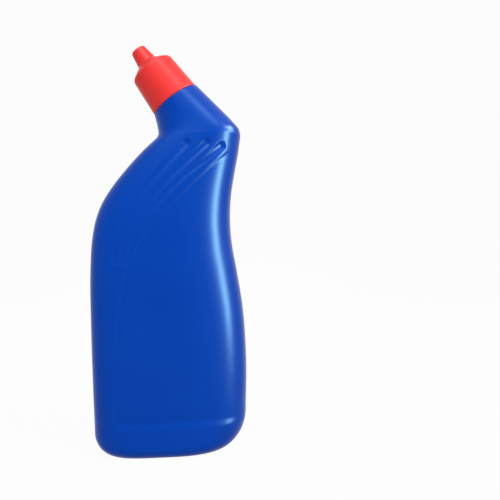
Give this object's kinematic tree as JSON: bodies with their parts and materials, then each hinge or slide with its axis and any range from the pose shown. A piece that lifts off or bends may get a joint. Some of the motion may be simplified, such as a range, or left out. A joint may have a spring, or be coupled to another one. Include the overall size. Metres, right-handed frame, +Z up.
{
  "type": "toilet cleaner bottle",
  "caption": "Flat-sided squeeze bottle with a bent neck, grip grooves and a screw cap with a narrow tip, for reaching under a rim.",
  "frame": {"origin": "middle of the base, on the surface the bottle stands on", "axes": "+Z up along the bottle, -Y out of the front face, the bent neck leans to -X and the grip side is +X"},
  "size_m": [0.0892, 0.0484, 0.2326],
  "materials": {
    "bottle_plastic": "satin",
    "insert_plastic": "satin",
    "cap_plastic": "satin",
    "seal_plastic": "matt"
  },
  "bodies": {
    "bottle": {"bottle": "bottle_plastic", "pour_insert": "insert_plastic"},
    "seal": {"cap_seal": "seal_plastic"},
    "cap": {"cap": "cap_plastic"}
  },
  "joints": [
    {"name": "cap_lift", "type": "slide", "parent": "bottle", "child": "seal", "axis": [-0.5592, 0, 0.829], "range_m": [0, 0.034]},
    {"name": "cap_turn", "type": "hinge", "parent": "seal", "child": "cap", "pos_m": [0.00805, 0, 0.1999], "axis": [-0.5592, 0, 0.829], "range_deg": [0, 3825]}
  ],
  "couplings": [
    {"joint": "cap_lift", "follows": "cap_turn", "m_per_rad": 0.0005093}
  ]
}
